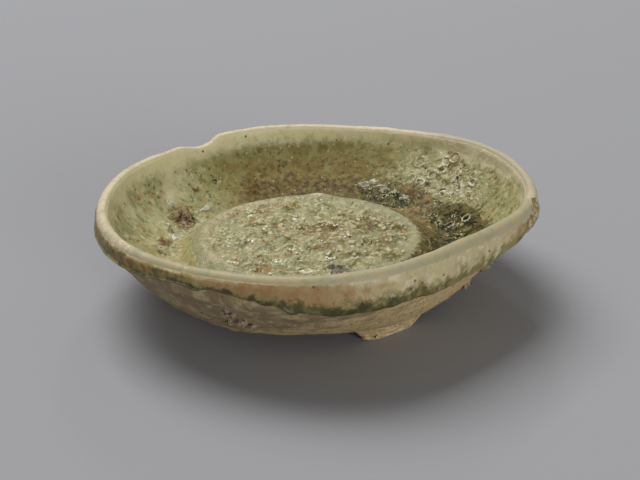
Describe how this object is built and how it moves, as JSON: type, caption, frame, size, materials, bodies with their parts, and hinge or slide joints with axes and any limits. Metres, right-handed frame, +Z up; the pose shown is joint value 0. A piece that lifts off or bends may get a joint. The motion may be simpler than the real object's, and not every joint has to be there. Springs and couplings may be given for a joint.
{
  "type": "flat sake cup",
  "caption": "Flat, shallow drinking cup with a dished floor, upright rim and feet, ash-glazed stoneware, warped in firing.",
  "frame": {"origin": "on the ground, under the middle of the bowl", "axes": "+Z up out of the bowl, +X to the right and -Y to the front, where a foot shows at the right"},
  "size_m": [0.1102, 0.1097, 0.0299],
  "materials": {
    "clay": "matt fired stoneware, grey-brown",
    "foot_clay": "matt fired stoneware, flashed orange-brown",
    "ash_glaze": "glossy mottled olive green ash glaze",
    "ash_crust": "rough melted ash, pale green with white and yellow crumbs",
    "band_glaze": "satin cream to olive ash glaze with a rolled green edge",
    "green_glass": "thick dark green natural glass with bubble rings",
    "foam_glass": "burst and foamed pale glaze",
    "slag": "brown melted ash slag",
    "grit": "pale kiln grit"
  },
  "bodies": {
    "root": {"clay_bowl": "clay", "foot_front_right": "foot_clay", "foot_back_right": "foot_clay", "foot_left": "foot_clay", "inner_ash_glaze": "ash_glaze", "floor_ash_crust": "ash_crust", "outer_glaze_band": "band_glaze", "glass_pool_right": "green_glass", "glass_pool_back": "green_glass", "foam_glass_wall": "foam_glass", "trough_slag_left": "slag", "rim_slag_right": "slag", "kiln_grit_front_1": "grit", "kiln_grit_front_2": "grit", "kiln_grit_front_3": "grit", "kiln_grit_front_4": "grit", "kiln_grit_right_1": "grit", "kiln_grit_right_2": "grit", "kiln_grit_left": "grit"}
  },
  "joints": []
}
